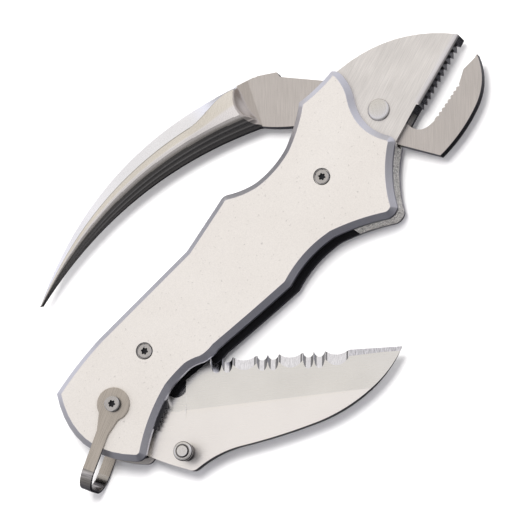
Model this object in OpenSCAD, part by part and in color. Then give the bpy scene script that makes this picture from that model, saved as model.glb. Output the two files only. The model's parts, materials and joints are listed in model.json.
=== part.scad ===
// Rigging knife: a slotted jaw head, a marlinspike lever that closes the lower jaw,
// a part-serrated blade and a lanyard bail, between two scales.
// It lies on its back. +X runs from the blade pivot to the jaw pivot, +Y towards the spike,
// +Z through the layers. The origin is the foot of the blade pivot, on the surface below.
// Shapes are drawn round the middle plane of the blade and lifted into place at the end.

/* [Handle] */
// Distance from the blade pivot to the jaw pivot
pivot_distance = 110; // [108:0.5:135]
// Thickness of each scale
scale_t = 3; // [2.2:0.1:4]
// Thickness of the jaw frame, which is also the space between the scales
frame_t = 8; // [7.4:0.1:10]
// How far the liners stay inside the edge of the scales
liner_inset = 1.6; // [1:0.1:2.4]

/* [Blade] */
// Distance from the blade pivot to the point
blade_reach = 82; // [76:0.5:83]
// Thickness of the blade
blade_t = 3; // [2:0.1:3.6]
// Thickness left at the cutting edge
edge_t = 0.4; // [0.3:0.05:0.8]
// Pitch of one group of serrations
serration_pitch = 13.2; // [10:0.1:14]
// Diameter of the blade pivot barrel
barrel_d = 5; // [4.2:0.1:6]
// Diameter of the rim of the thumb stud
stud_d = 5.5; // [4:0.1:6.6]
// Height of the thumb stud over the blade
stud_h = 5.9; // [5:0.1:6.4]

/* [Lever and jaws] */
// Thickness of the tang and the lower jaw
lever_t = 4; // [3.2:0.1:4.8]
// Half thickness of the spike at its root
spike_root_h = 4.8; // [3.5:0.1:5.8]
// Half thickness of the spike at its point
spike_tip_h = 0.8; // [0.5:0.05:1.2]
// Diameter of the shank of the jaw rivet
rivet_d = 5; // [4:0.1:6]
// Diameter of the domed head of the jaw rivet
rivet_head_d = 6.3; // [6.1:0.1:8]
// Pitch of the teeth on the upper jaw
tooth_pitch = 1.85; // [1.4:0.05:2.4]
// Depth of the teeth on the upper jaw
tooth_depth = 0.9; // [0.5:0.05:1.2]

/* [Bail and fasteners] */
// Thickness of the bail strap
bail_t = 0.9; // [0.7:0.05:1.3]
// Width of the bail strap
bail_w = 3.5; // [2.8:0.1:4.4]
// Distance from the blade pivot to the outside of the bail's bend
bail_reach = 25; // [24:0.5:30]
// Diameter of the body screw heads
screw_head_d = 4.1; // [3.4:0.1:5]
// Diameter of the standoffs between the scales
standoff_d = 4; // [3.6:0.1:4.8]

/* [Hidden] */
$fn = 64;

// Clearances
fit_gap = 0.05;       // round a pin in its bore
slide_gap = 0.05;     // beside a washer
seat_gap = 0.1;       // beside the bail eyes and between the liners and the frame
screw_gap = 0.1;      // round a screw shank
clear_gap = 0.6;      // round a piece that a moving part passes
past = 1;             // how far a cut runs past the face it opens

// Layers, measured from the middle plane
washer_t = 0.3;
slot_half = lever_t / 2 + washer_t + 2 * slide_gap;
frame_half = frame_t / 2;
case_half = frame_half + scale_t;
liner_t = frame_half - slot_half;
blade_washer_t = slot_half - blade_t / 2 - 2 * slide_gap;
eye_in = case_half + seat_gap;
eye_out = eye_in + bail_t;
pivot_head_t = 1.2;
pivot_head_z = eye_out + seat_gap;
mid_z = pivot_head_z + pivot_head_t;

// Rest pose and the limits that shapes depend on
blade_rest = -45;     // direction of the cutting edge
blade_close = 41.5;   // from rest to folded
blade_open = -138.5;  // from rest to fully open
bail_rest = 202;      // direction of the bail

// The outline is drawn for this pivot distance. The grip takes up any change.
drawn_distance = 110;
grip_start = 20;
grip_end = 78;
stretch = pivot_distance - drawn_distance;
function along(x) = x + stretch * min(1, max(0, (x - grip_start) / (grip_end - grip_start)));

// Body screws
lower_screw = [16.7, 3.7];
upper_screw = [pivot_distance - 24.2, -1.3];
screw_d = 2.4;
screw_head_t = 1.5;
screw_sink = 0.2;
screw_end = 1;        // where a screw's point stops, above the middle plane
head_chamfer = 0.2;   // round the face of a screw head
counterbore_d = screw_head_d + 0.75;
counterbore_floor = case_half - screw_sink - screw_head_t;
star_d = 2.1;
star_depth = 0.9;

// Blade pivot
barrel_head_d = 7.4;
pivot_screw_d = 3;
pivot_head_d = 4.4;
pivot_screw_end = -2;

// Tang of the blade and its stop
tang_r = 7.2;
shoulder_r = 10.4;
stop_d = 3;
stop_r = tang_r + 0.3 + stop_d / 2;
stop_angle = 60;
stop_half_angle = asin(stop_d / 2 / stop_r) + 0.6;
stop_at = stop_r * [cos(stop_angle), sin(stop_angle)];
shoulder_from = stop_angle - blade_open + stop_half_angle - 360;
shoulder_to = stop_angle - blade_close - stop_half_angle;

// Blade
edge_v = 12;
tip_u = sqrt(blade_reach * blade_reach - edge_v * edge_v);
drawn_tip_u = 81.1;   // the outline is drawn for a point that lies here
serration_start = 26.4;
serration_land = 0.25; // flat left on the edge between two scallops
plunge_u = 17.3;
grind_v = -2.5;
grind_slope = 3.2;
stud_at = [19.3, -14.1];
stud_neck_d = 2.5;
stud_neck_end = 1.2;  // how far the neck enters the half of the stud on the back

// Jaws, measured from the jaw pivot
boss_r = 8;
jaw_tip = [30.1, -2.8];
tooth_end = [8.4, -7.6];
tooth_angle = atan2(jaw_tip[1] - tooth_end[1], jaw_tip[0] - tooth_end[0]);
tooth_run = norm(jaw_tip - tooth_end);
rim_t = 1;            // smooth rim in front of the teeth
rivet_dome = 0.9;

// Bail
eye_d = 9.4;
bend_r = 5.5;

// A bow from p to q that stands out by h to the right of the way; q is left out.
function bow(p, q, h = 0, n = 10) = h == 0 ? [p] :
    let (side = [q[1] - p[1], p[0] - q[0]] / norm(q - p))
    [for (i = [0 : n - 1]) let (t = i / n) p + t * (q - p) + 4 * h * t * (1 - t) * side];
// Bows between knots [x, y, bulge to the next knot], all the way round
function around(knots) = [for (i = [0 : len(knots) - 1])
    let (a = knots[i], b = knots[(i + 1) % len(knots)])
    each bow([a[0], a[1]], [b[0], b[1]], a[2])];
// Each point of a closed outline moved inwards by d, square to the edges beside it
function inward(pts, d) = [for (i = [0 : len(pts) - 1])
    let (n = len(pts), a = pts[(i + n - 1) % n], b = pts[i], c = pts[(i + 1) % n],
        u = (b - a) / norm(b - a), v = (c - b) / norm(c - b), m = [-u[1] - v[1], u[0] + v[0]],
        k = 2 * d / max(1.4, m * m)) b + k * m];
function turned(p, a) = [p[0] * cos(a) - p[1] * sin(a), p[0] * sin(a) + p[1] * cos(a)];

// Outline of the handle, counter-clockwise from the butt
handle_knots = [
    [-9.1, 15.0, 5.8], [-7.4, -15.3, 0.5], [-4.2, -16.1, -0.9], [14, -8.8, -0.15],
    [21.5, -8.9, -0.2], [25.5, -10.7, 0.3], [31, -11.4, 0.1], [57.5, -15.0, -1.2],
    [75.6, -15.0, -0.5], [89.6, -23.2, 0.5], [93.5, -22.9, -1.15], [106.3, -10.1, 0.3],
    [106.7, -7.8, -2.2], [107.4, 6.8, 0.6], [110.4, 14.5, 0.4], [109.2, 17.3, -0.4],
    [96.8, 18.3, -0.5], [84.5, 12.3, -0.65], [72.1, 12.2, -0.4], [64.2, 16.2, 0.3],
    [61.5, 16.5, 0], [45.2, 14.1, 0], [10.7, 16.3, 0.45]];
handle_pts = around([for (k = handle_knots) [along(k[0]), k[1], k[2]]]);

// A round bar between two heights
module bar(d, z1, z2) {
    translate([0, 0, z1]) cylinder(d = d, h = z2 - z1);
}

// A round bar with its upper rim chamfered
module chamfered_bar(d, z1, z2) {
    bar(d, z1, z2 - head_chamfer);
    translate([0, 0, z2 - head_chamfer])
        cylinder(d1 = d, d2 = d - 2.5 * head_chamfer, h = head_chamfer);
}

// The same thing on the back: turned over about the middle plane
module on_back() {
    mirror([0, 0, 1]) children();
}

module scale() {
    difference() {
        translate([0, 0, frame_half]) linear_extrude(scale_t) polygon(handle_pts);
        bar(barrel_d + 2 * fit_gap, frame_half - past, case_half + past);
        for (p = [lower_screw, upper_screw]) translate(p) {
            bar(screw_d + 2 * screw_gap, frame_half - past, case_half);
            bar(counterbore_d, counterbore_floor, case_half + past);
        }
    }
}

module front_scale() {
    color("antiquewhite") lift() scale();
}

module back_scale() {
    color("antiquewhite") lift() on_back() scale();
}

// The jaw frame starts this far from the blade pivot, so that the point of the blade passes it
frame_start = blade_reach + clear_gap;

// The part of the plane beyond a radius round the blade pivot
module beyond(r) {
    polygon(concat([for (a = [24 : -2 : -24]) r * [cos(a), sin(a)]],
        [[pivot_distance + 40, -40], [pivot_distance + 40, 40]]));
}

module liner_plate() {
    difference() {
        linear_extrude(liner_t) difference() {
            polygon(inward(handle_pts, liner_inset));
            beyond(frame_start - seat_gap);
        }
        bar(barrel_d + 2 * fit_gap, -past, liner_t + past);
        translate(stop_at) bar(stop_d + 2 * fit_gap, -past, liner_t + past);
        translate(lower_screw) bar(standoff_d + 2 * fit_gap, -past, liner_t + past);
        for (p = spacer_pins_at) translate(p) bar(spacer_pin_d + 2 * fit_gap, -past, liner_t + past);
    }
}

// Lock leaf: the slits that free it, its thumb tab and the detent ball in it
leaf_slit = 0.7;
leaf_root = along(58);
leaf_end = 2.5;
leaf_top = -4.4;
tab_knots = [[1.5, -10.5, 0], [2.6, -13.3, 0.2], [9.8, -10.9, 0], [12, -7.6, 0], [4, -7.6, 0]];
jimp_pitch = 1.25;
ball_d = 1.8;
ball_at = 6 * [cos(-58), sin(-58)];
ball_gap = 0.05;

module front_liner() {
    color("dimgray") lift() translate([0, 0, slot_half]) difference() {
        union() {
            liner_plate();
            linear_extrude(liner_t) polygon(around(tab_knots));
        }
        linear_extrude(3 * liner_t, center = true) {
            polygon([[leaf_end, leaf_top - 2.5], [9.5, leaf_top], [leaf_root, leaf_top],
                [leaf_root, leaf_top + leaf_slit], [9.2, leaf_top + leaf_slit],
                [leaf_end - leaf_slit, leaf_top - 2.2], [leaf_end - 1.7, -16],
                [leaf_end - 1, -16]]);
            translate([leaf_root, leaf_top + leaf_slit / 2]) circle(d = 2);
            for (i = [0 : 4]) translate([3.6 + jimp_pitch * i, -13.1 + 0.42 * i])
                rotate(45) square(0.75, center = true);
        }
        translate([ball_at[0], ball_at[1], -past])
            cylinder(d = ball_d + 2 * fit_gap, h = liner_t + 2 * past);
    }
}

module back_liner() {
    color("dimgray") lift() on_back() translate([0, 0, slot_half]) liner_plate();
}

// Spacer between the liners along the spine, behind the folded cutting edge
spacer_pin_d = 1.6;
spike_shut_reach = 96; // the point of the closed spike lies beyond this from the jaw pivot
spacer_from = pivot_distance - spike_shut_reach;
spacer_to = along(60);
spacer_low = 11.1;
spacer_pins_at = [[spacer_from + 5, 12.9], [spacer_to - 5, 12.6]];

module back_spacer() {
    color("gray") lift() difference() {
        linear_extrude(2 * slot_half, center = true) intersection() {
            polygon(inward(handle_pts, liner_inset));
            translate([spacer_from, spacer_low]) square([spacer_to - spacer_from, 20]);
        }
        for (p = spacer_pins_at) translate(p)
            bar(spacer_pin_d + 2 * fit_gap, -slot_half - past, slot_half + past);
    }
}

module spacer_pins() {
    color("silver") lift() for (p = spacer_pins_at) translate(p)
        bar(spacer_pin_d, -frame_half, frame_half);
}

// Outline of the head, from the handle round the upper jaw and back under it
head_knots = [[-4, -10.3, 0], [-3.4, -9.7, 0], [8.0, -7.0, 0], [tooth_end[0], tooth_end[1], 0],
    [jaw_tip[0] - 0.3, jaw_tip[1] - 0.25, 0.15], [jaw_tip[0], jaw_tip[1] + 0.3, 3.8],
    [0.8, 16.4, 0.1], [-1.5, 16.4, 0], [-10, 10, 0]];

// Space inside the head that the lever sweeps, in its own plane
module lever_sweep() {
    circle(r = boss_r + clear_gap);
    polygon([[4.6, 7.6], [-3.6, 20], [-40, 20], [-24.6, 11.2], [-8.6, 0.6]]);
    polygon([[-7, -5], [-4.25, -10.2], [-3.5, -14], [5.8, -14], [5.8, -5]]);
}

// Saw teeth along the upper jaw, pointing out of it
module upper_teeth() {
    translate(jaw_tip) rotate(tooth_angle) for (i = [1 : floor(tooth_run / tooth_pitch) - 1])
        translate([-i * tooth_pitch - 0.4, 0]) polygon([[0, -past], [0, 0], [-0.25, tooth_depth],
            [-tooth_pitch, -0.1], [-tooth_pitch, -past]]);
}

module jaw_frame() {
    color("tan") lift() difference() {
        linear_extrude(frame_t, center = true) union() {
            intersection() {
                polygon(handle_pts);
                beyond(frame_start);
            }
            translate([pivot_distance, 0]) polygon(around(head_knots));
        }
        translate([pivot_distance, 0]) {
            linear_extrude(2 * slot_half, center = true) lever_sweep();
            translate([0, 0, -frame_half - past]) linear_extrude(frame_t + past - rim_t)
                upper_teeth();
            bar(rivet_d + 2 * fit_gap, -frame_half - past, frame_half + past);
        }
        translate(upper_screw) bar(standoff_d + 2 * fit_gap, -frame_half - past,
            frame_half + past);
    }
}

// Threaded standoff that a body screw enters from each end
module standoff() {
    color("silver") lift() difference() {
        bar(standoff_d, -frame_half, frame_half);
        bar(screw_d + 2 * fit_gap, -frame_half - past, frame_half + past);
    }
}

module lower_standoff() {
    translate(lower_screw) standoff();
}

module upper_standoff() {
    translate(upper_screw) standoff();
}

// Six-lobed socket
module star(d, h) {
    linear_extrude(h) {
        circle(d = 0.76 * d);
        for (a = [0 : 60 : 300]) rotate(a) translate([0.36 * d, 0]) circle(d = 0.28 * d, $fn = 24);
    }
}

// Body screw: a flat head, sunk a little below the face of the scale
module body_screw() {
    head_top = case_half - screw_sink;
    difference() {
        union() {
            bar(screw_d, screw_end, counterbore_floor);
            chamfered_bar(screw_head_d, counterbore_floor, head_top);
        }
        translate([0, 0, head_top - star_depth]) star(star_d, 2 * star_depth);
    }
}

module lower_screw_front() {
    color("gray") lift() translate(lower_screw) body_screw();
}

module lower_screw_back() {
    color("gray") lift() translate(lower_screw) on_back() body_screw();
}

module upper_screw_front() {
    color("gray") lift() translate(upper_screw) body_screw();
}

module upper_screw_back() {
    color("gray") lift() translate(upper_screw) on_back() body_screw();
}

// Barrel with a plain head on the back, which is the foot that the knife rests on
module pivot_barrel() {
    color("silver") lift() difference() {
        union() {
            bar(barrel_d, -pivot_head_z, case_half);
            bar(barrel_head_d, -mid_z, -pivot_head_z);
        }
        bar(pivot_screw_d + 2 * fit_gap, pivot_screw_end - past, case_half + past);
    }
}

module pivot_screw() {
    color("gray") lift() difference() {
        union() {
            bar(pivot_screw_d, pivot_screw_end, pivot_head_z);
            chamfered_bar(pivot_head_d, pivot_head_z, mid_z);
        }
        translate([0, 0, mid_z - star_depth]) star(star_d, 2 * star_depth);
    }
}

module washer(bore, rim, z, t) {
    difference() {
        bar(rim, z, z + t);
        bar(bore, z - past, z + t + past);
    }
}

module blade_washer_front() {
    color("goldenrod") lift()
        washer(barrel_d + 2 * fit_gap, 9, blade_t / 2 + slide_gap, blade_washer_t);
}

module blade_washer_back() {
    color("goldenrod") lift() on_back()
        washer(barrel_d + 2 * fit_gap, 9, blade_t / 2 + slide_gap, blade_washer_t);
}

module stop_pin() {
    color("silver") lift() translate(stop_at) bar(stop_d, -frame_half, frame_half);
}

module detent_ball() {
    color("silver") lift() translate([ball_at[0], ball_at[1], blade_t / 2 + ball_gap + ball_d / 2])
        sphere(d = ball_d);
}

// Outline of the blade along its own axis, cutting edge upwards
blade_grows_from = 30;
function on_blade(u) = u + max(0, u - blade_grows_from) * (tip_u - drawn_tip_u) /
    (drawn_tip_u - blade_grows_from);
blade_knots = [[tip_u, edge_v, 0], [serration_start, edge_v, -0.2], [18.6, 6, 0], [13, 1.5, 0],
    [6, 6, 0], [-2.9, -9.4, 0], [8.5, -14.6, 0.2], [19.2, -18.7, 0.5], [22.2, -18.5, -0.9],
    [on_blade(36), -12.8, 0.35], [on_blade(57.4), -7.4, 0.9], [on_blade(73.3), 1.8, 0.6]];

// Radius of the arc that is w wide and h deep
function arc_r(w, h) = (w * w / 4 + h * h) / (2 * h);

// Scallops along the heel of the cutting edge: two narrow ones and a wide one, three times
module serrations() {
    notch_w = 0.24 * serration_pitch;
    wave_w = serration_pitch - 2 * notch_w;
    notch_depth = 1.4;
    wave_depth = 1.1;
    notch_r = arc_r(notch_w - serration_land, notch_depth);
    wave_r = arc_r(wave_w - serration_land, wave_depth);
    for (k = [0 : 2]) translate([serration_start + k * serration_pitch, edge_v]) {
        for (i = [0.5, 1.5]) translate([i * notch_w, notch_r - notch_depth]) circle(r = notch_r);
        translate([2 * notch_w + wave_w / 2, wave_r - wave_depth]) circle(r = wave_r);
    }
}

// A slice of a disc between two directions
module slice(r, from, to) {
    polygon(concat([[0, 0]], [for (i = [0 : 24]) let (a = from + (to - from) * i / 24)
        r * [cos(a), sin(a)]]));
}

module blade() {
    grind_tilt = atan2((blade_t - edge_t) / 2, edge_v - grind_v);
    color("gainsboro") lift() difference() {
        rotate(blade_rest) difference() {
            linear_extrude(blade_t, center = true) difference() {
                union() {
                    circle(r = tang_r);
                    slice(shoulder_r, shoulder_from - blade_rest, shoulder_to - blade_rest);
                    polygon(around(blade_knots));
                }
                serrations();
                translate(turned(lower_screw, -blade_close - blade_rest))
                    circle(d = standoff_d + 4 * clear_gap);
            }
            for (side = [0, 1]) mirror([0, 0, side]) translate([plunge_u, grind_v, blade_t / 2])
                rotate([-grind_tilt, 0, grind_slope]) cube([90, 30, 5]);
            translate(stud_at) bar(stud_neck_d + 2 * fit_gap, -blade_t, blade_t);
        }
        bar(barrel_d + 2 * fit_gap, -blade_t, blade_t);
    }
}

// Half of the thumb stud: a waisted knob. The front half's neck goes through the blade.
module stud_half() {
    foot = blade_t / 2;
    translate([0, 0, foot]) rotate_extrude() polygon([[0, 0], [0.4 * stud_d, 0],
        [0.45 * stud_d, 0.4], [0.45 * stud_d, 1], [0.34 * stud_d, 2], [0.34 * stud_d, 2.9],
        [0.47 * stud_d, 3.9], [stud_d / 2, 4.4], [stud_d / 2, stud_h - 0.8],
        [0.29 * stud_d, stud_h], [0, stud_h]]);
}

module thumb_stud_front() {
    color("silver") lift() rotate(blade_rest) translate(stud_at) {
        stud_half();
        bar(stud_neck_d, -blade_t / 2 - stud_neck_end, blade_t / 2 + 0.5);
    }
}

module thumb_stud_back() {
    color("silver") lift() rotate(blade_rest) translate(stud_at) difference() {
        on_back() stud_half();
        bar(stud_neck_d + 2 * fit_gap, -blade_t / 2 - stud_neck_end - screw_gap, 0);
    }
}

// Lever: boss, lower jaw and tang in one plate
jaw_knots = [[-6, -5, 0], [-3.8, -9.9, 0], [1.9, -21.4, 0.75], [18.5, -19.5, 1.65],
    [29.6, -9.8, 0], [28.3, -10.1, 0], [23.9, -9.9, 0], [20.4, -11.6, -0.1], [8.4, -13.2, 0],
    [8.0, -13.5, 0], [6.8, -13.35, -1.6], [2.4, -8.4, 0], [3, -5, 0]];
tang_knots = [[3.6, 7.2, 0], [-4.5, 18.6, 0], [-11.5, 28.5, 0], [-11.2, 30.2, 0],
    [-15.5, 33.6, 0], [-21, 36, 0], [-25.2, 22.9, 0.2], [-19.4, 16.2, 0], [-7.6, 2.5, 0]];
lower_tooth_pitch = 1.4;
lower_tooth_depth = 0.55;

// The spike: eight-sided rings between an outer and an inner bow
spike_outer = [-21.7, 36.4];
spike_inner = [-25.2, 23.0];
spike_point = [-105, 36.9];
spike_rings = 26;

function bowed(p, q, h, t) = let (side = [p[1] - q[1], q[0] - p[0]] / norm(q - p))
    p + t * (q - p) - 4 * h * t * (1 - t) * side;
function spike_ring(t) =
    let (o = bowed(spike_outer, spike_point + [0, 0.35], 9.2, t),
        i = bowed(spike_inner, spike_point - [-0.2, 0.35], 7.3, t),
        h = spike_root_h + (spike_tip_h - spike_root_h) * t, crest = 0.26 + 0.3 * t)
    [for (s = [[0, -0.15], [crest, -1], [0.66, -0.95], [1, -0.2], [1, 0.2], [0.66, 0.95],
        [crest, 1], [0, 0.15]]) let (p = o + s[0] * (i - o)) [p[0], p[1], s[1] * h]];
// The shoulder: the first ring shrunk to the tang's thickness, a little up the tang
function shoulder_ring(shift, k) = [for (p = spike_ring(0)) [p[0] + shift[0], p[1] + shift[1],
    k * p[2]]];

module spike() {
    rings = concat([shoulder_ring([5.2, -2.2], 0.36), shoulder_ring([2.6, -1.1], 0.62)],
        [for (i = [0 : spike_rings]) spike_ring(i / spike_rings)]);
    last = len(rings) - 1;
    polyhedron([for (r = rings) each r], concat([[for (j = [0 : 7]) j]],
        [[for (j = [7 : -1 : 0]) 8 * last + j]],
        [for (i = [0 : last - 1]) for (j = [0 : 7])
            [8 * i + j, 8 * i + 8 + j, 8 * i + 8 + (j + 1) % 8, 8 * i + (j + 1) % 8]]));
}

module spike_lever() {
    color("rosybrown") lift() translate([pivot_distance, 0]) difference() {
        union() {
            linear_extrude(lever_t, center = true) {
                circle(r = boss_r);
                polygon(around(jaw_knots));
                polygon(around(tang_knots));
            }
            spike();
        }
        bar(rivet_d + 2 * fit_gap, -lever_t, lever_t);
        linear_extrude(2 * lever_t, center = true)
            for (i = [0 : 7]) translate([19.6 - lower_tooth_pitch * i, -11.72 - 0.185 * i])
                rotate(50) square(lower_tooth_depth * [1.4, 1.4], center = true);
    }
}

// Rivet: a shank and a low dome on each side
module jaw_rivet() {
    dome_r = arc_r(rivet_head_d, rivet_dome);
    color("silver") lift() translate([pivot_distance, 0]) {
        bar(rivet_d, -frame_half, frame_half);
        for (side = [0, 1]) mirror([0, 0, side]) intersection() {
            translate([0, 0, frame_half + rivet_dome - dome_r]) sphere(r = dome_r);
            bar(rivet_head_d + 1, frame_half, frame_half + 2 * rivet_dome);
        }
    }
}

module lever_washer_front() {
    color("goldenrod") lift() translate([pivot_distance, 0])
        washer(rivet_d + 2 * fit_gap, 12, lever_t / 2 + slide_gap, washer_t);
}

module lever_washer_back() {
    color("goldenrod") lift() translate([pivot_distance, 0]) on_back()
        washer(rivet_d + 2 * fit_gap, 12, lever_t / 2 + slide_gap, washer_t);
}

// A block from x = 0 to x, its far upright edges rounded, in the plane of the bail's bend
module rounded_end(x, half, r) {
    translate([0, -half]) square([x - r, 2 * half]);
    for (s = [-1, 1]) translate([x - r, s * (half - r)]) circle(r = r);
    translate([x - r - 1, r - half]) square([r + 1, 2 * (half - r)]);
}

module bail() {
    color("gray") lift() rotate(bail_rest) difference() {
        intersection() {
            rotate([90, 0, 0]) linear_extrude(2 * eye_d, center = true) union() {
                difference() {
                    rounded_end(bail_reach, eye_out, bend_r);
                    rounded_end(bail_reach - bail_t, eye_in, bend_r - bail_t);
                }
                for (s = [eye_in, -eye_out]) translate([-eye_d, s]) square([eye_d + 1, bail_t]);
            }
            linear_extrude(3 * mid_z, center = true) {
                circle(d = eye_d);
                polygon([[2, 3.4], [2, -3.4], [8.5, -bail_w / 2], [bail_reach + 1, -bail_w / 2],
                    [bail_reach + 1, bail_w / 2], [8.5, bail_w / 2]]);
            }
        }
        bar(pivot_screw_d + 2 * fit_gap, 0, mid_z + past);
        bar(barrel_d + 2 * fit_gap, -mid_z - past, 0);
    }
}

// From the middle plane up to the surface the knife lies on
module lift() {
    translate([0, 0, mid_z]) children();
}

front_scale();
back_scale();
front_liner();
back_liner();
jaw_frame();
back_spacer();
spacer_pins();
lower_standoff();
upper_standoff();
lower_screw_front();
lower_screw_back();
upper_screw_front();
upper_screw_back();
pivot_barrel();
pivot_screw();
blade_washer_front();
blade_washer_back();
stop_pin();
detent_ball();
blade();
thumb_stud_front();
thumb_stud_back();
spike_lever();
jaw_rivet();
lever_washer_front();
lever_washer_back();
bail();
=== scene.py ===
import json
import math

import bmesh
import bpy
from mathutils import Matrix, Vector


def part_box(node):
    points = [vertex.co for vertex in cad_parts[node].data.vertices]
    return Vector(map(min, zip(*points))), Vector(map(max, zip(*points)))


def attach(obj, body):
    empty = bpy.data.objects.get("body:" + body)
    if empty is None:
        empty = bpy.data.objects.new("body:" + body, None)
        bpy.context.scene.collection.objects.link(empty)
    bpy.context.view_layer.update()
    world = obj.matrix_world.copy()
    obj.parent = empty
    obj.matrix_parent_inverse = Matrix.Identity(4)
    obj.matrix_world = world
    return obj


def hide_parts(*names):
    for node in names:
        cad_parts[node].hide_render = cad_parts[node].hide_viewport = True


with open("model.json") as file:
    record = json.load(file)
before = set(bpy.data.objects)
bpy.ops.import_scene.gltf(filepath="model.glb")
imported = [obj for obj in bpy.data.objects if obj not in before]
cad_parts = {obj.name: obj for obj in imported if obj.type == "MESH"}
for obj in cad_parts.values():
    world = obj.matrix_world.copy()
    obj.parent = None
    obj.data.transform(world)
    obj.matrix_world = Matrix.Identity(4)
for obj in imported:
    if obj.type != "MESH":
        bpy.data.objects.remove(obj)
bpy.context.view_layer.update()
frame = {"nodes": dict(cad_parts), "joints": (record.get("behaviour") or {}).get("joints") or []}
nodes = frame["nodes"]
joints = {j["name"]: Vector(j["pos_m"]) for j in frame["joints"]}

MM = 0.001
SAME = 1e-6                  # heights that differ by less than this are the same
NEAR = 1e-7                  # points and planes that are nearer than this touch
BLADE_PIVOT = joints["blade_pivot"]
JAW_PIVOT = joints["jaw_pivot"]
MID_Z = BLADE_PIVOT.z
BLADE_REST = math.radians(-45)           # the blade's own +X at rest, from the frame's +X


# ---------------------------------------------------------------- materials
BRUSH_CELLS = 180            # noise cells per metre along the brush lines
CLOUD_CELLS = 70             # in the handling marks of brushed steel
PIT_CELLS = 5200             # in its pits
HAZE_CELLS = 45              # in the clouds of blasted metal
SPECK_SIZE = 2.6             # size of its dark specks, in grains
GRAIN_DEPTH = 0.012 * MM


def shader(name, metallic, specular=0.5):
    """A new material, and its tree and principled shader."""
    mat = bpy.data.materials.new(name)
    mat.use_nodes = True
    tree = mat.node_tree
    bsdf = tree.nodes["Principled BSDF"]
    bsdf.inputs["Metallic"].default_value = metallic
    bsdf.inputs["Specular IOR Level"].default_value = specular
    return mat, tree, bsdf


def noise(tree, cells, angle, detail):
    """Noise in the row frame, with cells per metre along three axes turned by angle."""
    coord = tree.nodes.new("ShaderNodeTexCoord")
    mapping = tree.nodes.new("ShaderNodeMapping")
    mapping.vector_type = "TEXTURE"
    mapping.inputs["Rotation"].default_value = (0, 0, angle)
    mapping.inputs["Scale"].default_value = [1 / c for c in cells]
    tex = tree.nodes.new("ShaderNodeTexNoise")
    tex.inputs["Scale"].default_value = 1
    tex.inputs["Detail"].default_value = detail
    tree.links.new(coord.outputs["Object"], mapping.inputs["Vector"])
    tree.links.new(mapping.outputs["Vector"], tex.inputs["Vector"])
    return tex.outputs["Fac"]


def ramp(tree, value, stops):
    """The colour that value picks out of the stops, each a place from 0 to 1 and a colour."""
    node = tree.nodes.new("ShaderNodeValToRGB")
    points = node.color_ramp.elements
    while len(points) < len(stops):
        points.new(0.5)
    for point, (at, colour) in zip(points, stops):
        point.position = at
        point.color = (*colour, 1)
    tree.links.new(value, node.inputs["Fac"])
    return node.outputs["Color"]


def times(tree, a, b):
    """One colour multiplied by another."""
    node = tree.nodes.new("ShaderNodeMix")
    node.data_type = "RGBA"
    node.blend_type = "MULTIPLY"
    node.inputs["Factor"].default_value = 1
    tree.links.new(a, node.inputs["A"])
    tree.links.new(b, node.inputs["B"])
    return node.outputs["Result"]


def spread(tree, value, low, high):
    """A noise value stretched to run from low to high."""
    node = tree.nodes.new("ShaderNodeMapRange")
    node.inputs["From Min"].default_value = 0.3
    node.inputs["From Max"].default_value = 0.7
    node.inputs["To Min"].default_value = low
    node.inputs["To Max"].default_value = high
    tree.links.new(value, node.inputs["Value"])
    return node.outputs["Result"]


def relief(tree, bsdf, layers):
    """Bump layers of (value, depth in metres, strength), one on top of the other."""
    before = None
    for value, depth, strength in layers:
        bump = tree.nodes.new("ShaderNodeBump")
        bump.inputs["Distance"].default_value = depth
        bump.inputs["Strength"].default_value = strength
        tree.links.new(value, bump.inputs["Height"])
        if before:
            tree.links.new(before, bump.inputs["Normal"])
        before = bump.outputs["Normal"]
    tree.links.new(before, bsdf.inputs["Normal"])


def tone(colour, k):
    return tuple(min(1, c * k) for c in colour)


def varied(tree, value, colour, by):
    """The colour, darker and lighter by a share as the noise value goes."""
    return ramp(tree, value, [(0.3, tone(colour, 1 - by)), (0.7, tone(colour, 1 + by))])


def steel(name, colour, rough, angle, lines=0.10, pits=0.05, depth=0.004 * MM, fine=9000,
          clouds=0.07):
    """Brushed steel: fine lines at an angle to +X, cloudy handling marks and tiny pits."""
    mat, tree, bsdf = shader(name, 1)
    brush = noise(tree, (BRUSH_CELLS, fine, fine), angle, 4)
    cloud = noise(tree, (CLOUD_CELLS,) * 3, 0.4, 2)
    speck = noise(tree, (PIT_CELLS,) * 3, 0, 2)
    shade = ramp(tree, cloud, [(0.35, (1 - clouds,) * 3), (0.65, (1, 1, 1))])
    dots = ramp(tree, speck, [(0.27, (1 - 4 * pits,) * 3), (0.36, (1, 1, 1))])
    base = times(tree, times(tree, varied(tree, brush, colour, lines), shade), dots)
    tree.links.new(base, bsdf.inputs["Base Color"])
    tree.links.new(spread(tree, brush, rough - 0.06, rough + 0.08), bsdf.inputs["Roughness"])
    relief(tree, bsdf, [(brush, depth, 0.5), (speck, depth, 0.35)])
    return mat


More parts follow.
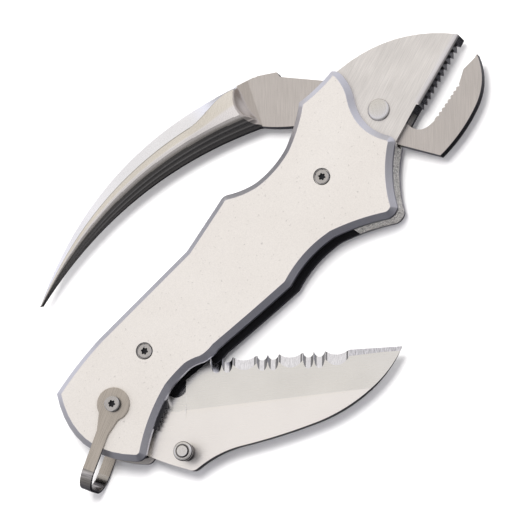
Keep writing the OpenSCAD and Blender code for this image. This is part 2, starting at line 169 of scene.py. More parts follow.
def blasted(name, colour, rough, metallic, grain, cells=3600, dark=0.72):
    """Bead-blasted metal: an even fine grain, with a few darker specks and faint clouds."""
    mat, tree, bsdf = shader(name, metallic)
    fine = noise(tree, (cells,) * 3, 0, 4)
    coarse = noise(tree, (cells / SPECK_SIZE,) * 3, 0.3, 2)
    cloud = noise(tree, (HAZE_CELLS,) * 3, 0.9, 2)
    specks = ramp(tree, coarse, [(0.24, (dark,) * 3), (0.33, (1, 1, 1))])
    shade = ramp(tree, cloud, [(0.35, (0.965, 0.96, 0.955)), (0.65, (1, 1, 1))])
    base = times(tree, times(tree, varied(tree, fine, colour, grain), specks), shade)
    tree.links.new(base, bsdf.inputs["Base Color"])
    tree.links.new(spread(tree, fine, rough - 0.05, rough + 0.07), bsdf.inputs["Roughness"])
    relief(tree, bsdf, [(fine, GRAIN_DEPTH, 0.35), (coarse, GRAIN_DEPTH, 0.25)])
    return mat


ALONG_SPIKE = math.radians(30)
ALONG_TANG = math.radians(44)
ACROSS_BLADE = BLADE_REST + math.radians(90)

SCALE = blasted("scale blasted", (0.555, 0.53, 0.50), 0.60, 0.15, grain=0.07)
SCALE_BEVEL = steel("scale bevel brushed", (0.66, 0.66, 0.70), 0.34, 0.6, lines=0.05)
# painted shade: near-black for the inside of the handle, on the liners, the back spacer and the
# scales' inner faces in the slot
INSIDE_PAINTED_SHADE = blasted("inside of handle, painted shade", (0.035, 0.035, 0.038), 0.5, 0.8, grain=0.2)
HEAD = steel("head brushed", (0.80, 0.77, 0.735), 0.38, math.radians(14), lines=0.13,
             clouds=0.09)
# painted shade: dark steel for upright sides in shade, by the teeth and on the thumb studs and
# the rivet
WALL_PAINTED_SHADE = steel("painted shade on upright sides", (0.20, 0.19, 0.185), 0.26, 0, lines=0.2)
CAST = blasted("cast side", (0.52, 0.50, 0.475), 0.45, 0.2, grain=0.95, cells=2200, dark=0.35)
LEVER = steel("lever brushed", (0.585, 0.545, 0.51), 0.36, ALONG_TANG, lines=0.12)
# painted shade: darker brushed steel in the lever's pocket and on the band of tang before it
POCKET_PAINTED_SHADE = steel("lever pocket, painted shade", (0.48, 0.44, 0.405), 0.34, math.radians(52), lines=0.12)
# The spike is one polished steel, painted in lighter and darker copies for the light each facet
# catches: a painted reflection on the outer facet, the crest in between, and painted shade on the
# line between facets, the inner turn and the inner facet. The inner facet's painted shade also
# darkens the lever's sides.
SPIKE = steel("spike crest", (0.78, 0.74, 0.68), 0.22, ALONG_SPIKE, lines=0.08)
SPIKE_LINE_PAINTED_SHADE = steel("spike facet line, painted shade", (0.42, 0.40, 0.38), 0.25, ALONG_SPIKE)
SPIKE_OUTER_PAINTED_REFLECTION = steel("spike outer facet, painted reflection", (0.94, 0.94, 0.98), 0.26, ALONG_SPIKE, lines=0.04)
SPIKE_TURN_PAINTED_SHADE = steel("spike inner turn, painted shade", (0.40, 0.375, 0.345), 0.26, ALONG_SPIKE, lines=0.15)
SHADE = steel("painted shade, spike inner facet and lever sides", (0.13, 0.125, 0.12), 0.28, ALONG_SPIKE, lines=0.25)
BLADE = steel("blade satin", (0.89, 0.855, 0.81), 0.32, BLADE_REST, lines=0.008,
              pits=0.01, depth=1e-7, clouds=0.03)
HOLLOW_GROUND = steel("blade hollow grind", (0.80, 0.785, 0.76), 0.30, BLADE_REST,
                      lines=0.012, pits=0.01, depth=1e-7, clouds=0.06)
GROUND = steel("ground edge", (0.84, 0.84, 0.90), 0.18, ACROSS_BLADE, lines=0.13,
               depth=1e-7, fine=4200)
PLAIN_EDGE = steel("ground edge, plain part", (0.66, 0.66, 0.72), 0.18, ACROSS_BLADE,
                   lines=0.3, depth=1e-7, fine=2800)
# painted shade: dark ground edge where a scallop ends steeply
SCALLOP_END_PAINTED_SHADE = steel("ground edge, painted shade at scallop ends", (0.25, 0.25, 0.265), 0.2, ACROSS_BLADE,
                   depth=1e-7, fine=4200)
BAIL = steel("bail tumbled", (0.475, 0.43, 0.375), 0.30, math.radians(22), lines=0.16)
# painted shade: darker steel on the bail's bend, brushed its own way
BAIL_BEND_PAINTED_SHADE = steel("bail bend, painted shade", (0.36, 0.34, 0.32), 0.15, math.radians(-66), lines=0.4, fine=1600)
SCREW = steel("screw turned", (0.50, 0.48, 0.46), 0.24, 0.2, lines=0.12)
# painted shade: near-black for the screws' sockets and the upright side of their rims
SCREW_PAINTED_SHADE = blasted("screw socket and rim, painted shade", (0.02, 0.02, 0.022), 0.5, 0.6, grain=0.3)
PIN = steel("pin polished", (0.70, 0.68, 0.655), 0.22, 0.9, lines=0.07)
BRONZE = steel("washer bronze", (0.60, 0.42, 0.20), 0.35, 0.3, lines=0.08)

# The nodes that keep their CAD mesh.
PAINT = {
    INSIDE_PAINTED_SHADE: ("front_liner", "back_liner", "back_spacer"),
    PIN: ("spacer_pins", "lower_standoff", "upper_standoff", "pivot_barrel", "stop_pin",
          "detent_ball"),
    BRONZE: ("lever_washer_front", "lever_washer_back", "blade_washer_front",
             "blade_washer_back"),
}
for mat, names in PAINT.items():
    for node in names:
        nodes[node].data.materials.clear()
        nodes[node].data.materials.append(mat)


# ---------------------------------------------------------------- mesh helpers
def smooth(t):
    """Rises from 0 to 1 with no corner at either end."""
    t = min(1, max(0, t))
    return t * t * (3 - 2 * t)


def between(a, b, t):
    return a + (b - a) * t


def steps(a, b, n):
    return [a + (b - a) * i / n for i in range(n + 1)]


def wall(face, tilt):
    """True where the face's normal rises by less than tilt: 0 is upright and 1 takes all in."""
    return abs(face.normal.z) < tilt


def at_height(part, z):
    """True where all the corners of an edge or face are at the height z."""
    return all(abs(v.co.z - z) < SAME for v in part.verts)


def cad_bmesh(node):
    """The node's mesh as one skin: corners joined and flat stretches merged."""
    bm = bmesh.new()
    bm.from_mesh(nodes[node].data)
    bmesh.ops.remove_doubles(bm, verts=bm.verts, dist=NEAR)
    bmesh.ops.dissolve_limit(bm, angle_limit=math.radians(0.3), verts=bm.verts, edges=bm.edges)
    return bm


def made(bm, name, body, node, mats, paint, sharp=35):
    """A piece from bm that stands for the CAD node. paint picks one of mats for a face."""
    bmesh.ops.dissolve_degenerate(bm, dist=SAME, edges=bm.edges)
    midway = [v for v in bm.verts if len(v.link_edges) == 2 and v.calc_edge_angle(1) < 0.01
              and all(len(f.verts) > 4 for f in v.link_faces)]
    bmesh.ops.dissolve_verts(bm, verts=midway)      # they would export as doubled flat triangles
    bmesh.ops.recalc_face_normals(bm, faces=bm.faces)
    bm.normal_update()
    for face in bm.faces:
        face.material_index = mats.index(paint(face))
    mesh = bpy.data.meshes.new(name)
    bm.to_mesh(mesh)
    bm.free()
    for mat in mats:
        mesh.materials.append(mat)
    mesh.shade_smooth()
    mesh.set_sharp_from_angle(angle=math.radians(sharp))
    piece = bpy.data.objects.new(name, mesh)
    bpy.context.scene.collection.objects.link(piece)
    flat = piece.modifiers.new("flat faces", "WEIGHTED_NORMAL")
    flat.keep_sharp = True
    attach(piece, body)
    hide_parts(node)


def soften(bm, width, segments=2, corner=30, only=None):
    """Rounds the edges that turn by more than corner degrees: all, or those that only() picks."""
    edges = [e for e in bm.edges if len(e.link_faces) == 2
             and e.calc_face_angle(0) > math.radians(corner) and (not only or only(e))]
    bmesh.ops.bevel(bm, geom=edges, offset=width, offset_type="OFFSET", segments=segments,
                    profile=0.5, affect="EDGES", clamp_overlap=False)


def cut(bm, point, normal, faces=None, keep_below=False):
    """Cuts bm, or only the given faces, along a plane and returns the cut's edges.
    keep_below drops what is above."""
    if faces is None:
        geom = bm.verts[:] + bm.edges[:] + bm.faces[:]
    else:
        near = {e for f in faces for e in f.edges} | {v for f in faces for v in f.verts}
        geom = faces + list(near)
    found = bmesh.ops.bisect_plane(bm, geom=geom, dist=NEAR, plane_co=point, plane_no=normal,
                                   clear_outer=keep_below)
    return [g for g in found["geom_cut"] if isinstance(g, bmesh.types.BMEdge)]


def outline(node, to_local):
    """The node's section at mid height, as segments between points in the piece's own plane."""
    bm = cad_bmesh(node)
    edges = cut(bm, (0, 0, MID_Z), (0, 0, 1))
    lines = [[to_local @ v.co for v in e.verts] for e in edges]
    bm.free()
    return [((a.x, a.y), (b.x, b.y)) for a, b in lines]


def interval(lines, x):
    """Lowest and highest y of the section at x."""
    ys = [a[1] + (b[1] - a[1]) * (x - a[0]) / (b[0] - a[0]) for a, b in lines
          if a[0] != b[0] and min(a[0], b[0]) <= x <= max(a[0], b[0])]
    return min(ys), max(ys)


def height_skin(lines, xs, rows_at, top, bottom):
    """A skin, open at its first x, over the section that lines go round. At each x it has the
    rows that rows_at gives, always as many, and runs there from bottom() up to top()."""
    bm = bmesh.new()
    upper, lower = [], []
    for grid, height in ((upper, top), (lower, bottom)):
        for x in xs:
            low, high = interval(lines, x)
            grid.append([bm.verts.new((x, y, height(x, y, low, high)))
                         for y in rows_at(x, low, high)])
    last = len(upper[0]) - 1
    for i in range(len(xs) - 1):
        for j in range(last):
            for g in (upper, lower):
                bm.faces.new((g[i][j], g[i + 1][j], g[i + 1][j + 1], g[i][j + 1]))
        for j in (0, last):
            bm.faces.new((upper[i][j], upper[i + 1][j], lower[i + 1][j], lower[i][j]))
    for j in range(last):
        bm.faces.new((upper[-1][j], upper[-1][j + 1], lower[-1][j + 1], lower[-1][j]))
    return bm


def end_corners(bm):
    """The corners round the open end of bm."""
    return [v for v in bm.verts if any(e.is_boundary for e in v.link_edges)]


def split_end(bm, points, near):
    """Splits the edges round the open end of bm wherever one of the points lies on them."""
    for edge in [e for e in bm.edges if e.is_boundary]:
        start, end = edge.verts
        way = end.co - start.co
        shares = [(p - start.co).dot(way) / way.length_squared for p in points]
        inner = sorted(t for t, p in zip(shares, points)
                       if near < t * way.length < way.length - near
                       and (p - start.co - way * t).length < near)
        done = 0
        for t in inner:
            _, start = bmesh.utils.edge_split(edge, start, (t - done) / (1 - done))
            edge = next(e for e in start.link_edges if end in e.verts)
            done = t


def weld(bm, loft):
    """Adds the loft to bm, and joins its open end to the open end that a cut has left there."""
    near = 3e-6
    own = [v.co.copy() for v in end_corners(bm)]
    split_end(bm, [v.co.copy() for v in end_corners(loft)], near)
    split_end(loft, own, near)
    held = bpy.data.meshes.new("loft")
    loft.to_mesh(held)
    loft.free()
    bm.from_mesh(held)
    bpy.data.meshes.remove(held)
    bmesh.ops.remove_doubles(bm, verts=end_corners(bm), dist=near)


def lathe(profile, centre, side, turns=72):
    """Turns a profile of (radius, height) in mm about Z through centre, closed at both ends.
    side is 1 for heights that go up and -1 for down."""
    bm = bmesh.new()
    rings = []
    for r, z in profile:
        rings.append([bm.verts.new((centre.x + r * MM * math.cos(a),
                                    centre.y + r * MM * math.sin(a), centre.z + side * z * MM))
                      for a in steps(0, 2 * math.pi, turns)[:-1]])
    for a, b in zip(rings, rings[1:]):
        for i in range(turns):
            j = (i + 1) % turns
            bm.faces.new((a[i], a[j], b[j], b[i]))
    bm.faces.new(rings[0])
    bm.faces.new(rings[-1])
    return bm


def middle(low, high):
    return Vector(((low[0] + high[0]) / 2, (low[1] + high[1]) / 2))


def piece_name(node):
    return node.replace("_", "-")


# ---------------------------------------------------------------- screws
SOCKET_R = 1.04 * MM
SOCKET_DEPTH = 1.2 * MM
SOCKET_LIP = 0.02 * MM       # the painted shade starts this far below the head's face
HEAD_RIM = 0.9               # share of the head's radius from which its rim counts


def screw(node, side, rim_round):
    """The screw, its rim rounded, and its socket and the upright side of its rim painted black
    as shade. side is 1 for the front and -1 for the back."""
    low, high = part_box(node)
    face_z = high[2] if side > 0 else low[2]
    centre = middle(low, high)
    reach = HEAD_RIM * (high[0] - low[0]) / 2

    # the socket and the rim's upright side are painted black as shade
    def paint(face):
        at = face.calc_center_median()
        away = (at.xy - centre).length
        sunk = away < SOCKET_R and SOCKET_LIP < side * (face_z - at.z) < SOCKET_DEPTH
        return SCREW_PAINTED_SHADE if sunk or wall(face, 0.35) and away > reach else SCREW

    def on_rim(e):
        return at_height(e, face_z) and all((v.co.xy - centre).length > reach for v in e.verts)

    bm = cad_bmesh(node)
    soften(bm, rim_round, 5, only=on_rim)
    made(bm, piece_name(node), "handle", node, (SCREW, SCREW_PAINTED_SHADE), paint)


for place in ("lower", "upper"):
    screw(f"{place}_screw_front", 1, 0.18 * MM)
    screw(f"{place}_screw_back", -1, 0.18 * MM)
screw("pivot_screw", 1, 0.62 * MM)


# ---------------------------------------------------------------- thumb studs
BLADE_H = 1.5 * MM           # half thickness of the blade at its tang
NECK_R = 1.2                 # of the stud's shank in the blade, mm
# Radius and height above the blade, mm: a waisted cone with a dished top round a button.
STUD_PROFILE = [(1.25, 0), (2.2, 0), (2.45, 0.35), (2.45, 0.95), (1.95, 1.7), (1.87, 2.1),
                (1.87, 2.8), (2.05, 3.3), (2.62, 4.0), (2.75, 4.3), (2.75, 4.85), (2.55, 5.2),
                (2.15, 5.45), (1.98, 5.45), (1.92, 5.2), (1.7, 5.2), (1.64, 5.5), (1.5, 5.85),
                (1.3, 5.9)]
DISH = (1.6 * MM, 1.95 * MM)             # radii between which the top is painted dark as the shade in its groove


def thumb_stud(node, side, neck):
    """Half of the stud. neck is the height at which its shank ends, mm."""
    centre = middle(*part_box(node)).to_3d()
    centre.z = MID_Z + side * BLADE_H

    # the stud's upright sides and the groove round its top are painted dark as shade
    def paint(face):
        away = (face.calc_center_median() - centre).xy.length
        return WALL_PAINTED_SHADE if wall(face, 0.6) or DISH[0] < away < DISH[1] else PIN

    bm = lathe([(NECK_R, neck)] + STUD_PROFILE, centre, side)
    made(bm, piece_name(node), "blade", node, (PIN, WALL_PAINTED_SHADE), paint, sharp=28)


thumb_stud("thumb_stud_front", 1, -4.15)
thumb_stud("thumb_stud_back", -1, -0.01)


# ---------------------------------------------------------------- jaw rivet
RIVET_DOME = [(3.12, 0), (3.14, 0.2), (3.08, 0.4), (2.92, 0.57), (2.62, 0.72), (2.2, 0.81),
              (1.5, 0.87), (0.4, 0.9)]   # radius and height of a head, mm
RIVET_SHANK_R = 2.5


def jaw_rivet():
    """A shank with a low dome at each end."""
    seat = (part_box("jaw_rivet")[1][2] - MID_Z) / MM - RIVET_DOME[-1][1]
    profile = [(r, -seat - z) for r, z in reversed(RIVET_DOME)]
    profile += [(RIVET_SHANK_R, -seat), (RIVET_SHANK_R, seat)]
    profile += [(r, seat + z) for r, z in RIVET_DOME]

    # the rivet's upright sides are painted dark as shade
    def paint(face):
        return WALL_PAINTED_SHADE if wall(face, 0.3) else PIN

    made(lathe(profile, JAW_PIVOT, 1), "jaw-rivet", "handle", "jaw_rivet",
         (PIN, WALL_PAINTED_SHADE), paint, sharp=50)


jaw_rivet()


# ---------------------------------------------------------------- bail
BAIL_BEND_W = 5.6 * MM       # the far end that is bent over, with its own brushing, painted darker as shade


def bail():
    bm = cad_bmesh("bail")
    soften(bm, 0.22 * MM, 3)
    bend_from = max((v.co - BLADE_PIVOT).xy.length for v in bm.verts) - BAIL_BEND_W

    # the bent-over end is painted darker as shade
    def paint(face):
        away = (face.calc_center_median() - BLADE_PIVOT).xy.length
        return BAIL_BEND_PAINTED_SHADE if away > bend_from else BAIL

    made(bm, "bail-piece", "bail", "bail", (BAIL, BAIL_BEND_PAINTED_SHADE), paint)


bail()


# ---------------------------------------------------------------- scales
SCALE_BEVEL_W = 1.65 * MM
SCALE_RIM = 0.07 * MM        # rounding of the edge between the bevel and the face
SLOT_FROM = 0.0              # the inner sides are painted near-black as the shade in the slot from this x on
MITRE_LIMIT = 1.4            # keeps the sharpest corners from shooting inwards
PULL_ROUNDS = 60             # passes that settle the corners tighter than the bevel


def in_order(rim):
    """The corners of a closed outline of edges, anticlockwise from above."""
    follow = {}
    for e in rim:
        for v in e.verts:
            follow.setdefault(v, []).append(e.other_vert(v))
    start = min(follow, key=lambda v: v.co.x)
    loop, before, here = [], None, start
    while here is not start or not loop:
        loop.append(here)
        a, b = follow[here]
        before, here = here, (b if a is before else a)
    area = sum(a.co.x * b.co.y - b.co.x * a.co.y for a, b in zip(loop, loop[1:] + loop[:1]))
    return loop[::-1] if area < 0 else loop


def pull_in(loop, width):
    """Moves a loop of corners inwards. Where it is tighter than width, it comes to a point."""
    behind, ahead = loop[-1:] + loop[:-1], loop[1:] + loop[:1]
    moves = []
    for a, b, c in zip(behind, loop, ahead):
        u = (b.co - a.co).normalized()
        w = (c.co - b.co).normalized()
        mitre = Vector((-u.y - w.y, u.x + w.x, 0))
        moves.append(mitre * 2 * width / max(MITRE_LIMIT, mitre.length_squared))
    ways = [b.co - a.co for a, b in zip(loop, ahead)]
    for v, move in zip(loop, moves):
        v.co += move
    for _ in range(PULL_ROUNDS):
        crossed = [(a, b) for a, b, way in zip(loop, ahead, ways)
                   if (b.co - a.co).dot(way) < 0 and (b.co - a.co).length > 1e-8]
        for a, b in crossed:
            a.co = b.co = (a.co + b.co) / 2


def scale(node, side):
    """The scale with its outer edge bevelled. side is 1 for the front and -1 for the back."""
    bm = cad_bmesh(node)
    low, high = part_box(node)
    face_z = high[2] if side > 0 else low[2]
    cut(bm, (0, 0, face_z - side * SCALE_BEVEL_W), (0, 0, 1))
    on_face = [f for f in bm.faces if at_height(f, face_z)]
    edges = {e for f in on_face for e in f.edges}
    inner = {e for e in edges if all(g in on_face for g in e.link_faces)}
    loop = in_order(edges - inner)
    bmesh.ops.delete(bm, geom=on_face, context="FACES_ONLY")
    bmesh.ops.delete(bm, geom=list(inner), context="EDGES")
    pull_in(loop, SCALE_BEVEL_W)
    bmesh.ops.remove_doubles(bm, verts=loop, dist=4e-6)
    rim = [e for e in bm.edges if e.is_boundary]
    bmesh.ops.triangle_fill(bm, edges=rim, use_beauty=True, normal=(0, 0, side))
    soften(bm, SCALE_RIM, 2, 28, only=lambda e: at_height(e, face_z))
    cut(bm, (SLOT_FROM, 0, 0), (1, 0, 0))

    def paint(face):
        # beyond SLOT_FROM the inner face is painted near-black as the shade in the slot
        if face.normal.z * side < -0.9:
            return INSIDE_PAINTED_SHADE if face.calc_center_median().x > SLOT_FROM else SCALE
        return SCALE_BEVEL if wall(face, 0.9) else SCALE

    made(bm, piece_name(node), "handle", node, (SCALE, SCALE_BEVEL, INSIDE_PAINTED_SHADE), paint)


scale("front_scale", 1)
scale("back_scale", -1)


# ---------------------------------------------------------------- jaw frame
JAW_FROM = Vector((8.4, -7.6, 0)) * MM      # the biting edge, from the jaw pivot
JAW_TO = Vector((29.8, -3.05, 0)) * MM
RIM_W = 1.9 * MM             # the smooth rim along the biting edge is rounded over this width
RIM_DROP = 0.85 * MM         # and falls by this at the edge
RIM_STEPS = 9
RIM_RUN_IN = 0.3 * MM        # along the edge, over which the rounding starts
SHARP_X = JAW_FROM.x - 1 * MM    # by the teeth, edges stay sharp beyond this x and below SHARP_Y
SHARP_Y = 1 * MM
TOOTHED_X = 2 * MM           # and the sides are painted dark as shade beyond this x and below TOOTHED_Y
TOOTHED_Y = -1 * MM


def round_biting_edge(bm):
    """Rounds the front face down towards the biting edge, as a quarter of an ellipse."""
    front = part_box("jaw_frame")[1][2]
    way = (JAW_TO - JAW_FROM).normalized()
    across = Vector((-way.y, way.x, 0))
    start = JAW_PIVOT + JAW_FROM

    def on_front():
        return [f for f in bm.faces if at_height(f, front)]

    for a in steps(0, math.pi / 2, RIM_STEPS)[:-1]:
        cut(bm, start + across * RIM_W * math.cos(a), across, on_front())
    cut(bm, start, way, on_front())
    cut(bm, start + way * RIM_RUN_IN, way, on_front())
    for v in {v for f in on_front() for v in f.verts}:
        rel = v.co - start
        inside = 1 - rel.dot(across) / RIM_W
        if rel.dot(way) > RIM_RUN_IN / 3 and inside > 0:
            v.co.z -= RIM_DROP * (1 - math.sqrt(1 - min(1, inside) ** 2))


def away_from_teeth(e):
    clear = JAW_PIVOT + Vector((SHARP_X, SHARP_Y, 0))
    return (e.calc_length() > 0.5 * MM
            and all(v.co.x < clear.x or v.co.y > clear.y for v in e.verts))


def frame_paint(face):
    """Brushed faces, with cast sides but for the sides by the teeth, painted dark as shade."""
    if not wall(face, 0.15):
        return HEAD
    at = face.calc_center_median() - JAW_PIVOT
    return WALL_PAINTED_SHADE if at.x > TOOTHED_X and at.y < TOOTHED_Y else CAST


def jaw_frame():
    bm = cad_bmesh("jaw_frame")
    round_biting_edge(bm)
    soften(bm, 0.10 * MM, 2, 60, only=away_from_teeth)
    made(bm, "jaw-frame", "handle", "jaw_frame", (HEAD, CAST, WALL_PAINTED_SHADE), frame_paint,
         sharp=30)


jaw_frame()


# ---------------------------------------------------------------- spike lever
# Places are from the jaw pivot. Shares run across the spike, from 0 at its outer edge to 1.
SPIKE_FROM = -13.0 * MM      # where the loft takes over from the plate
SPIKE_ROOT_X = -23.4 * MM    # where the taper starts
SPIKE_ROOT_H = 4.8 * MM      # half thickness there
SPIKE_TIP_H = 0.8 * MM       # and at the point
TANG_H = 2.0 * MM
POCKET_AT = Vector((-19.05, 28.56)) * MM   # round end of the pocket that thins the tang
POCKET_R = 7.9 * MM
POCKET_FILLET = 4.6 * MM
POCKET_WAY = Vector((-0.967, 0.253))       # from the tang towards the spike
POCKET_OPEN = 4.3 * MM       # nearer than this along that way, the tang is thin right across
POCKET_LEAD = 1.4 * MM       # from there the spike comes up to its full height over this
BAND_WAY = Vector((-0.881, 0.473))         # the tang is painted darker as shade beyond BAND_FROM along this
BAND_FROM = 2.46 * MM
SHADE_ROOT = 0.70            # where the inner facet, painted dark as shade, starts
SHADE_TIP = 0.62
OUTER_ROOT = 0.07            # where the outer facet, painted light as a reflection, ends
OUTER_FULL = 0.36
OUTER_GROWS = 0.2            # over this share of the spike's length
RIBS_AT = (0.82, 0.92)       # two fine ribs along the inner facet
RIB_H = 0.035                # as a share of the half thickness
RIB_W = 0.018
BLUR = 0.012                 # the profile's corners are rounded by this share
LEVER_ROWS = 84
CLOSE_TO = -31 * MM          # the loft has CLOSE_COLUMNS up to here and FAR_COLUMNS beyond
CLOSE_COLUMNS = 150
FAR_COLUMNS = 130
to_lever = Matrix.Translation(-JAW_PIVOT)
lever_lines = outline("spike_lever", to_lever)
lever_tip_x = min(min(a[0], b[0]) for a, b in lever_lines)


def spike_profile(share, outer, shade):
    """Height across the spike, as a share of its half thickness: an outer facet up to outer,
    a narrow crest, and from shade on a steeper inner facet with fine ribs along it."""
    knots = [(-0.2, -0.4), (0, 0.15), (outer, 1 - 0.45 * outer), (between(outer, shade, 0.5), 1),
             (shade, 0.86), (1, 0.2), (1.2, -0.2)]

    def height(s):
        for (a, low), (b, high) in zip(knots, knots[1:]):
            if s <= b:
                return between(low, high, (s - a) / (b - a))
        return 0

    rounded = sum(height(share + k * BLUR) for k in (-2, -1, 0, 1, 2)) / 5
    return rounded + sum(RIB_H * math.exp(-((share - at) / RIB_W) ** 2) for at in RIBS_AT)


def along_spike(x):
    return min(1, max(0, (SPIKE_ROOT_X - x) / (SPIKE_ROOT_X - lever_tip_x)))


def shade_share(x):
    return between(SHADE_ROOT, SHADE_TIP, along_spike(x))


def outer_share(x):
    return between(OUTER_ROOT, OUTER_FULL, smooth(along_spike(x) / OUTER_GROWS))


def lever_top(x, y, low, high):
    """Height of the tang, its pocket or the spike above mid height."""
    share = (high - y) / max(high - low, SAME)
    half = between(SPIKE_ROOT_H, SPIKE_TIP_H, along_spike(x))
    body = half * spike_profile(share, outer_share(x), shade_share(x))
    away = Vector((x, y)) - POCKET_AT
    lead = smooth((away.dot(POCKET_WAY) - POCKET_OPEN) / POCKET_LEAD)
    if away.length < POCKET_R:
        rise = max(0, POCKET_FILLET + away.length - POCKET_R)
        fillet = TANG_H + POCKET_FILLET - math.sqrt(POCKET_FILLET ** 2 - rise ** 2)
        body = max(TANG_H, min(body, fillet))
    return between(TANG_H, body, lead)


def lever_paint(face):
    """The tang and the jaw are brushed, their sides and the pocket painted dark as shade. The
    spike is polished, its facets painted lighter and darker as reflection and shade.
    """
    at = face.calc_center_median() - JAW_PIVOT
    away = at.xy - POCKET_AT
    if at.x > SPIKE_FROM or away.dot(POCKET_WAY) < POCKET_OPEN:
        # the tang's upright sides are painted dark as shade
        if wall(face, 0.5):
            return SHADE
        # the band of tang before the pocket is painted darker as shade
        in_band = at.x < SPIKE_FROM and away.dot(BAND_WAY) > BAND_FROM
        return POCKET_PAINTED_SHADE if in_band else LEVER
    # the pocket is painted darker as shade
    if away.length < POCKET_R:
        return POCKET_PAINTED_SHADE
    low, high = interval(lever_lines, at.x)
    share = (high - at.y) / (high - low)
    outer, shade = outer_share(at.x), shade_share(at.x)
    # bands across the spike, painted lighter as reflection and darker as shade
    for limit, mat in ((outer - 0.009, SPIKE_OUTER_PAINTED_REFLECTION), (outer + 0.004, SPIKE_LINE_PAINTED_SHADE),
                       (shade - 0.07, SPIKE), (shade + 0.04, SPIKE_TURN_PAINTED_SHADE)):
        if share < limit:
            return mat
    return SHADE


def spike_lever():
    """The plate's jaw and tang, welded to a shaped tang end and spike."""
    bm = cad_bmesh("spike_lever")
    seam = JAW_PIVOT + Vector((SPIKE_FROM, 0, 0))
    cut(bm, seam, (-1, 0, 0), keep_below=True)
    clear_x = seam.x + 0.3 * MM

    def on_plate(e):
        return e.calc_length() > 0.7 * MM and all(v.co.x > clear_x for v in e.verts)

    def rows(x, low, high):
        return steps(low, high, LEVER_ROWS)

    def bottom(x, y, low, high):
        return -lever_top(x, y, low, high)

    soften(bm, 0.12 * MM, 2, 50, only=on_plate)
    xs = steps(SPIKE_FROM, CLOSE_TO, CLOSE_COLUMNS)
    xs += steps(CLOSE_TO, lever_tip_x + 0.02 * MM, FAR_COLUMNS)[1:]
    loft = height_skin(lever_lines, xs, rows, lever_top, bottom)
    loft.transform(to_lever.inverted())
    weld(bm, loft)
    mats = (LEVER, SPIKE, SHADE, SPIKE_OUTER_PAINTED_REFLECTION, POCKET_PAINTED_SHADE, SPIKE_TURN_PAINTED_SHADE, SPIKE_LINE_PAINTED_SHADE)
    made(bm, "spike-lever", "lever", "spike_lever", mats, lever_paint, sharp=24)


spike_lever()


# ---------------------------------------------------------------- blade
# Places are in the blade's own frame, with +X from its pivot to its point and its edge at +Y.
EDGE_H = 0.2 * MM            # half thickness that the hollow grind leaves
EDGE_Y = 12 * MM
LOFT_FROM = 13.02 * MM       # where the ground blade takes over from the tang
LOFT_LEAD = 0.5 * MM         # the grind fades in over this from there
PLUNGE_X = 13.6 * MM         # where the grind starts, on the grind line
PLUNGE_LEAN = 0.18
PLUNGE_RUN = 2.0 * MM
GRIND_Y = -2.5 * MM
GRIND_SLOPE = math.tan(math.radians(3.2))
HOLLOW = 0.10 * MM
THIN_FROM = 62 * MM          # the blade thins towards its point from here, over THIN_RUN
THIN_RUN = 20 * MM
THINNER = 0.45               # by this share
TEETH_FROM = 26.4 * MM
TEETH_TO = 66.0 * MM
FACET_SLOPE = 0.22           # rise of the scallops' ground faces
EDGE_SLOPE = 0.25            # and of the plain edge beyond them
STEEP = 0.55                 # where the edge line is steeper than this, the facet is painted dark as shade
LOOK_AHEAD = 0.15 * MM       # the distance over which that is measured
WIRE = 0.08 * MM             # thickness left at the sharpened edge
ROW_GAP = 0.05               # the least share of the width between the grind line and a border
FACET_MOST = 0.3             # the greatest share of the width that the facet's rows take
BLADE_COLUMNS = 400
to_blade = Matrix.Rotation(-BLADE_REST, 4, "Z") @ Matrix.Translation(-BLADE_PIVOT)
blade_lines = outline("blade", to_blade)
blade_tip_x = max(max(a[0], b[0]) for a, b in blade_lines)


def grind_line(x):
    return GRIND_Y + max(0, x - PLUNGE_X) * GRIND_SLOPE


def grind(x, y):
    """Half thickness of the blade without its sharpened facet."""
    start = grind_line(x)
    share = max(0, y - start) / (EDGE_Y - start)
    deep = (BLADE_H - EDGE_H) * share + HOLLOW * math.sin(math.pi * min(1, share))
    run = smooth((x - PLUNGE_X - PLUNGE_LEAN * (GRIND_Y - y)) / PLUNGE_RUN)
    run *= smooth((x - LOFT_FROM) / LOFT_LEAD)
    thin = 1 - THINNER * smooth((x - THIN_FROM) / THIN_RUN)
    return max(EDGE_H, (BLADE_H - deep * run) * thin)


def facet(x, depth):
    """Height of the sharpened facet at a depth in from the edge."""
    return WIRE - EDGE_H + (FACET_SLOPE if x < TEETH_TO else EDGE_SLOPE) * depth


def blade_top(x, y, low, high):
    return min(grind(x, y), facet(x, high - y)) if x > TEETH_FROM else grind(x, y)


def blade_bottom(x, y, low, high):
    return -grind(x, y)


def blade_rows(x, low, high):
    """Rows that follow the grind line and the foot of the sharpened facet."""
    near, far = facet(x, 0), facet(x, 1)
    depth = 1 * MM
    for _ in range(4):
        depth = (grind(x, high - depth) - near) / (far - near)
    width = high - low
    foot = high - min(depth, FACET_MOST * width)
    line = min(max(grind_line(x), low + ROW_GAP * width), foot - ROW_GAP * width)
    return steps(low, line, 10)[:-1] + steps(line, foot, 16)[:-1] + steps(foot, high, 10)


def blade_paint(face):
    """Satin, with a hollow grind, and on the front a sharpened facet that is painted dark as
    shade where a scallop ends."""
    at = to_blade @ face.calc_center_median()
    if at.x < PLUNGE_X or wall(face, 0.3):
        return BLADE
    low, high = interval(blade_lines, at.x)
    if face.normal.z < 0 or blade_top(at.x, at.y, low, high) >= grind(at.x, at.y) - SAME:
        return HOLLOW_GROUND if at.y > grind_line(at.x) else BLADE
    if at.x > TEETH_TO:
        return PLAIN_EDGE
    ahead = interval(blade_lines, min(at.x + LOOK_AHEAD, blade_tip_x - 0.01 * MM))[1]
    return SCALLOP_END_PAINTED_SHADE if abs(ahead - high) > LOOK_AHEAD * STEEP else GROUND


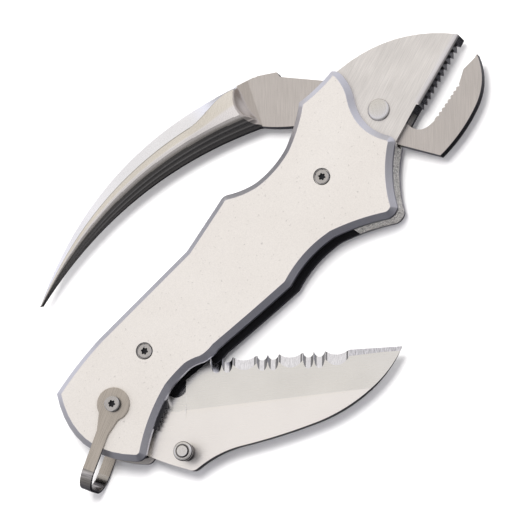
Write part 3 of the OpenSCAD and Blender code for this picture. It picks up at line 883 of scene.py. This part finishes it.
def blade():
    """The plate's tang, welded to a ground blade."""
    bm = cad_bmesh("blade")
    from_blade = to_blade.inverted()
    along = from_blade.to_3x3() @ Vector((1, 0, 0))
    cut(bm, from_blade @ Vector((LOFT_FROM, 0, 0)), along, keep_below=True)
    xs = steps(LOFT_FROM, blade_tip_x - 0.12 * MM, BLADE_COLUMNS)
    loft = height_skin(blade_lines, xs, blade_rows, blade_top, blade_bottom)
    loft.transform(from_blade)
    weld(bm, loft)
    mats = (BLADE, GROUND, HOLLOW_GROUND, SCALLOP_END_PAINTED_SHADE, PLAIN_EDGE)
    made(bm, "blade-piece", "blade", "blade", mats, blade_paint, sharp=20)


blade()


# ---------------------------------------------------------------- stage, light and camera
FLOOR_Z = -0.02 * MM         # just below the part, so that no faces coincide
FLOOR_HALF = 3
KEY_AT = (0.15, 0.02, 0.76)
KEY_TARGET = (0.05, 0, 0.01)
SKY_WAY = Vector((0.28, 0.73, 0.62))     # the sky is brightest this way and dark behind
# From dark to bright: a share of the way round and the colour there.
SKY_STOPS = [
    (0.08, (0.012, 0.012, 0.015)), (0.18, (0.12, 0.12, 0.14)), (0.24, (0.27, 0.27, 0.30)),
    (0.45, (0.50, 0.49, 0.49)), (0.76, (1.12, 1.12, 1.22)), (0.92, (1.0, 0.97, 0.93))]
CAMERA_AT = (0.12615, -0.31569, 1.09177)
CAMERA_RIGHT = (0.66171, -0.70791, -0.24700)
CAMERA_UP = (0.74723, 0.64970, 0.13977)
CAMERA_BACK = (0.06153, -0.27705, 0.95888)
LENS = 277.8


def lay_floor():
    """A plain pale floor, hidden from reflections."""
    mat, _, bsdf = shader("floor", 0, 0)
    bsdf.inputs["Base Color"].default_value = (0.97, 0.97, 0.97, 1)
    bsdf.inputs["Roughness"].default_value = 1
    bm = bmesh.new()
    bmesh.ops.create_grid(bm, x_segments=8, y_segments=8, size=FLOOR_HALF)
    mesh = bpy.data.meshes.new("floor")
    bm.to_mesh(mesh)
    bm.free()
    mesh.materials.append(mat)
    floor = bpy.data.objects.new("floor", mesh)
    floor.location.z = FLOOR_Z
    bpy.context.scene.collection.objects.link(floor)
    floor.visible_glossy = False


def hang_key_light():
    """One soft square light above the part, hidden from reflections."""
    light = bpy.data.lights.new("key", "AREA")
    light.size = 0.20
    light.energy = 5.0
    light.color = (1, 0.985, 0.965)
    key = bpy.data.objects.new("key", light)
    key.location = KEY_AT
    way = Vector(KEY_TARGET) - Vector(KEY_AT)
    key.rotation_euler = way.to_track_quat("-Z", "Y").to_euler()
    key.visible_glossy = False
    bpy.context.scene.collection.objects.link(key)


def paint_sky():
    """A studio that goes from dark to bright across the part, for the steel to reflect."""
    world = bpy.data.worlds.new("studio")
    bpy.context.scene.world = world
    world.use_nodes = True
    tree = world.node_tree
    coord = tree.nodes.new("ShaderNodeTexCoord")
    dot = tree.nodes.new("ShaderNodeVectorMath")
    dot.operation = "DOT_PRODUCT"
    dot.inputs[1].default_value = SKY_WAY.normalized() * 0.5
    share = tree.nodes.new("ShaderNodeMath")
    share.inputs[1].default_value = 0.5
    tree.links.new(coord.outputs["Generated"], dot.inputs[0])
    tree.links.new(dot.outputs["Value"], share.inputs[0])
    glow = ramp(tree, share.outputs["Value"], SKY_STOPS)
    tree.links.new(glow, tree.nodes["Background"].inputs["Color"])
    tree.nodes["Background"].inputs["Strength"].default_value = 0.9


def place_camera():
    lens = bpy.data.cameras.new("camera")
    lens.lens = LENS
    lens.sensor_width = 36
    lens.clip_end = 10
    camera = bpy.data.objects.new("camera", lens)
    turn = Matrix((CAMERA_RIGHT, CAMERA_UP, CAMERA_BACK)).transposed()
    camera.matrix_world = Matrix.Translation(CAMERA_AT) @ turn.to_4x4()
    bpy.context.scene.collection.objects.link(camera)
    bpy.context.scene.camera = camera


lay_floor()
hang_key_light()
paint_sky()
place_camera()
bpy.context.scene.view_settings.view_transform = "Standard"
